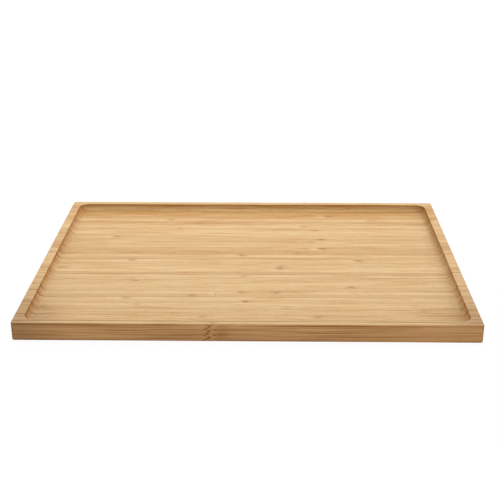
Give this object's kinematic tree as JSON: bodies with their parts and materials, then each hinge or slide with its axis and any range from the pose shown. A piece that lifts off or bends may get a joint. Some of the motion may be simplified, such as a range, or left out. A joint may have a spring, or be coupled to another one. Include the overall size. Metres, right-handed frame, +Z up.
{
  "type": "serving tray",
  "caption": "Flat rectangular bamboo serving tray of edge-glued strips, with a shallow coved recess and a narrow flat rim.",
  "frame": {"origin": "middle of the tray's underside", "axes": "+X along the tray's length and its strips, +Y across the strips from the front edge to the back edge, +Z up out of the recess"},
  "size_m": [0.4, 0.3, 0.0163],
  "materials": {
    "bamboo_pale": "satin, sanded and lightly sealed",
    "bamboo_natural": "satin, sanded and lightly sealed",
    "bamboo_honey": "satin, sanded and lightly sealed"
  },
  "bodies": {
    "root": {"front_edge_strip": "bamboo_natural", "strip_02": "bamboo_natural", "strip_03": "bamboo_natural", "strip_04": "bamboo_natural", "strip_05": "bamboo_natural", "strip_06": "bamboo_natural", "strip_07": "bamboo_natural", "strip_08": "bamboo_natural", "strip_09": "bamboo_pale", "strip_10": "bamboo_natural", "strip_11": "bamboo_pale", "strip_12": "bamboo_honey", "strip_13": "bamboo_pale", "strip_14": "bamboo_natural", "strip_15": "bamboo_natural", "strip_16": "bamboo_pale", "strip_17": "bamboo_natural", "strip_18": "bamboo_natural", "strip_19": "bamboo_pale", "strip_20": "bamboo_honey", "strip_21": "bamboo_pale", "strip_22": "bamboo_pale", "strip_23": "bamboo_natural", "strip_24": "bamboo_natural", "strip_25": "bamboo_pale", "strip_26": "bamboo_honey", "strip_27": "bamboo_pale", "strip_28": "bamboo_honey", "strip_29": "bamboo_honey", "strip_30": "bamboo_honey", "strip_31": "bamboo_natural", "strip_32": "bamboo_pale", "strip_33": "bamboo_natural", "strip_34": "bamboo_natural", "strip_35": "bamboo_natural", "strip_36": "bamboo_pale", "strip_37": "bamboo_pale", "strip_38": "bamboo_pale", "strip_39": "bamboo_natural", "strip_40": "bamboo_pale", "strip_41": "bamboo_natural", "strip_42": "bamboo_honey", "strip_43": "bamboo_pale", "strip_44": "bamboo_natural", "strip_45": "bamboo_natural", "strip_46": "bamboo_natural", "strip_47": "bamboo_natural", "strip_48": "bamboo_natural", "back_edge_strip": "bamboo_natural"}
  },
  "joints": []
}
